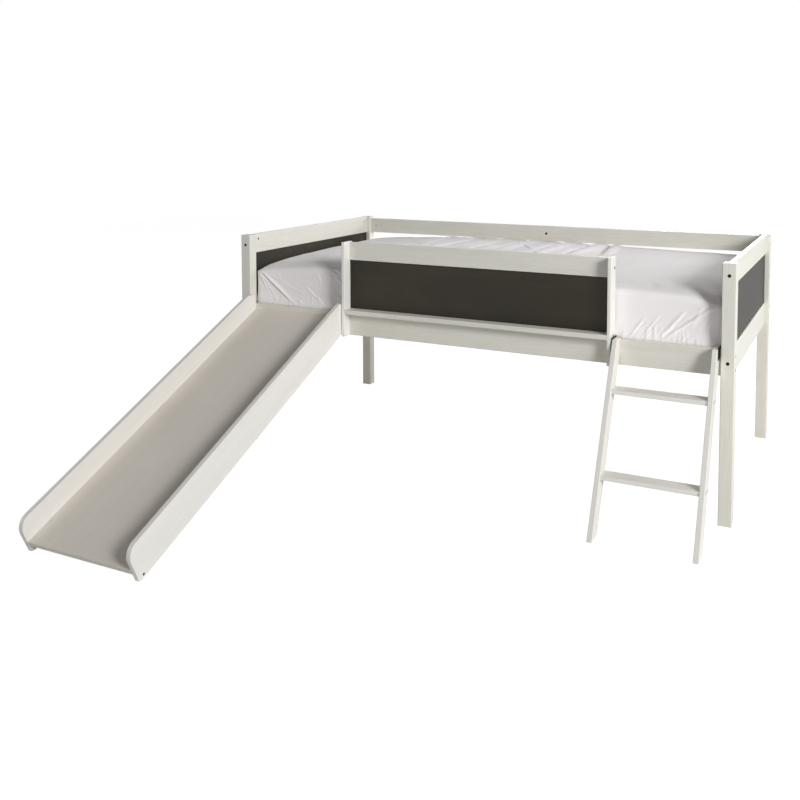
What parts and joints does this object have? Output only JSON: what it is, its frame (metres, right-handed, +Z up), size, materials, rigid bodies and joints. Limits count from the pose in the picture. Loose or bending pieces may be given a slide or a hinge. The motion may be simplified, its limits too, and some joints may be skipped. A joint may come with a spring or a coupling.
{
  "type": "loft bed",
  "caption": "Low children's loft bed on square posts, with a slide and a short ladder hooked on the front rail, chalkboard panels at the ends and in the front guard, slats and a mattress.",
  "frame": {"origin": "on the floor, under the middle of the box that holds the whole object, slide and ladder included", "axes": "+X along the bed, from the slide's end to the ladder's; +Y from the front, where the slide and the ladder stand, to the back; +Z up"},
  "size_m": [2.032, 2.2632, 0.895],
  "materials": {
    "painted_pine": "white-washed satin paint on pine, the grain just showing",
    "bare_pine": "planed, unpainted",
    "chalkboard_panel": "fibreboard with matte chalkboard paint",
    "slide_deck_board": "plywood with smooth greige paint",
    "black_steel": "black oxide",
    "zinc_steel": "zinc plated",
    "plug_plastic": "moulded",
    "fitted_sheet": "white cotton fitted sheet over a foam mattress"
  },
  "bodies": {
    "bed_frame": {"post_front_left": "painted_pine", "post_front_right": "painted_pine", "post_back_left": "painted_pine", "post_back_right": "painted_pine", "left_end_top_rail": "painted_pine", "left_end_lower_rail": "painted_pine", "left_end_chalkboard": "chalkboard_panel", "right_end_top_rail": "painted_pine", "right_end_lower_rail": "painted_pine", "right_end_chalkboard": "chalkboard_panel", "front_side_rail": "painted_pine", "back_side_rail": "painted_pine", "front_slat_ledger": "bare_pine", "back_slat_ledger": "bare_pine", "slat_01": "bare_pine", "slat_02": "bare_pine", "slat_03": "bare_pine", "slat_04": "bare_pine", "slat_05": "bare_pine", "slat_06": "bare_pine", "slat_07": "bare_pine", "slat_08": "bare_pine", "slat_09": "bare_pine", "slat_10": "bare_pine", "slat_11": "bare_pine", "back_guard_top_rail": "painted_pine", "back_guard_lower_rail": "painted_pine", "back_guard_batten": "painted_pine", "guard_left_upright": "painted_pine", "guard_right_upright": "painted_pine", "guard_top_rail": "painted_pine", "guard_chalk_ledge": "painted_pine", "guard_chalkboard": "chalkboard_panel", "end_rail_bolts": "black_steel", "side_rail_bolts": "black_steel", "back_guard_bolts": "black_steel", "front_guard_bolts": "black_steel", "frame_screws": "black_steel", "slat_screws": "black_steel", "barrel_nuts": "zinc_steel", "insert_nuts": "zinc_steel", "rail_hole_plugs": "plug_plastic"},
    "slide": {"slide_left_side": "painted_pine", "slide_right_side": "painted_pine", "slide_deck": "slide_deck_board", "slide_foot_bar": "painted_pine", "slide_lower_batten": "painted_pine", "slide_upper_batten": "painted_pine", "slide_top_bar": "painted_pine", "slide_hooks": "black_steel", "slide_screws": "black_steel", "slide_dowels": "bare_pine"},
    "ladder": {"ladder_left_stile": "painted_pine", "ladder_right_stile": "painted_pine", "ladder_lower_tread": "painted_pine", "ladder_upper_tread": "painted_pine", "ladder_hooks": "black_steel", "ladder_screws": "black_steel"},
    "mattress": {"mattress": "fitted_sheet"}
  },
  "joints": [
    {"name": "mattress_lift", "type": "slide", "parent": "bed_frame", "child": "mattress", "axis": [0, 0, 1], "range_m": [0, 0.35]},
    {"name": "slide_lift", "type": "slide", "parent": "bed_frame", "child": "slide", "axis": [0, 0, 1], "range_m": [0, 0.06]},
    {"name": "ladder_lift", "type": "slide", "parent": "bed_frame", "child": "ladder", "axis": [0, 0, 1], "range_m": [0, 0.06]}
  ]
}
